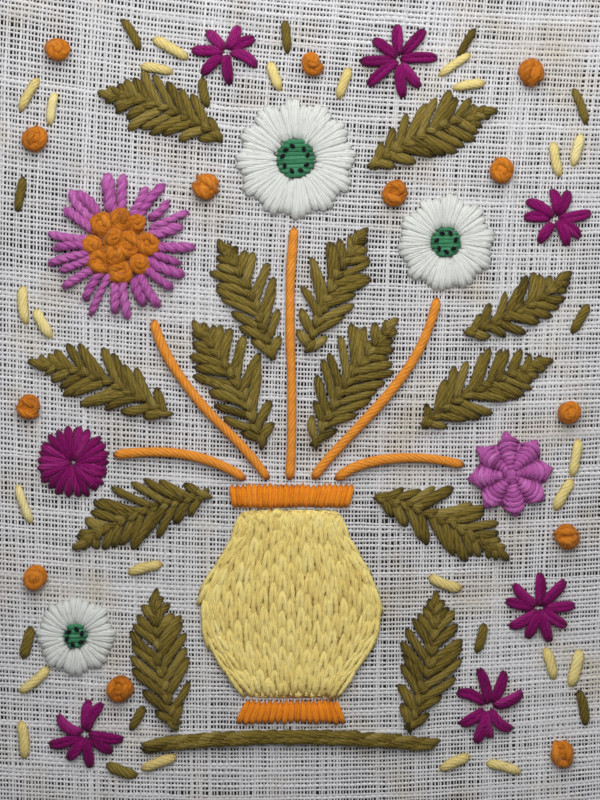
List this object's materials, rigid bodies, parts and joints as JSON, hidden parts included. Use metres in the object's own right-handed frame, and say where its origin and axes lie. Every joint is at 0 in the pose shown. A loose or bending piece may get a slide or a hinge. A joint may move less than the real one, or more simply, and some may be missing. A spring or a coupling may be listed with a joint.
{
  "type": "crewel embroidery panel",
  "caption": "Flat panel of open plain-weave linen worked in crewel wool with a vase of flowers: leaves, daisies, stars and knots stand up from the cloth.",
  "frame": {"origin": "bottom centre of the panel's box, on the surface that the cloth lies on", "axes": "+Z out of the worked face, +Y up the design, +X to its right"},
  "size_m": [0.144, 0.188, 0.0046],
  "materials": {
    "linen": "plain-weave natural linen, open and slubby, matt",
    "olive_wool": "two-ply crewel wool, matt and slightly hairy",
    "yellow_wool": "two-ply crewel wool, soft sheen along the stitches",
    "orange_wool": "two-ply crewel wool, soft sheen along the stitches",
    "magenta_wool": "two-ply crewel wool, deep and matt",
    "pink_wool": "two-ply crewel wool, soft sheen along the stitches",
    "white_wool": "two-ply crewel wool, off-white and matt",
    "green_wool": "two-ply crewel wool, matt"
  },
  "bodies": {
    "root": {"linen_ground": "linen", "urn": "yellow_wool", "urn_rim": "orange_wool", "urn_foot": "orange_wool", "stem_top": "orange_wool", "stem_left": "orange_wool", "stem_right": "orange_wool", "stem_low_left": "orange_wool", "stem_low_right": "orange_wool", "ground_line": "olive_wool", "leaf_01": "olive_wool", "leaf_02": "olive_wool", "leaf_03": "olive_wool", "leaf_04": "olive_wool", "leaf_05": "olive_wool", "leaf_06": "olive_wool", "leaf_07": "olive_wool", "leaf_08": "olive_wool", "leaf_09": "olive_wool", "leaf_10": "olive_wool", "leaf_11": "olive_wool", "leaf_12": "olive_wool", "leaf_13": "olive_wool", "daisy_top": "white_wool", "daisy_top_centre": "green_wool", "daisy_right": "white_wool", "daisy_right_centre": "green_wool", "daisy_low": "white_wool", "daisy_low_centre": "green_wool", "blossom": "pink_wool", "blossom_centre": "orange_wool", "wheel": "pink_wool", "rosette": "magenta_wool", "star_1": "magenta_wool", "star_2": "magenta_wool", "star_3": "magenta_wool", "star_4": "magenta_wool", "star_5": "magenta_wool", "star_6": "magenta_wool", "knot_01": "orange_wool", "knot_02": "orange_wool", "knot_03": "orange_wool", "knot_04": "orange_wool", "knot_05": "orange_wool", "knot_06": "orange_wool", "knot_07": "orange_wool", "knot_08": "orange_wool", "knot_09": "orange_wool", "knot_10": "orange_wool", "knot_11": "orange_wool", "knot_12": "orange_wool", "knot_13": "orange_wool"}
  },
  "joints": []
}
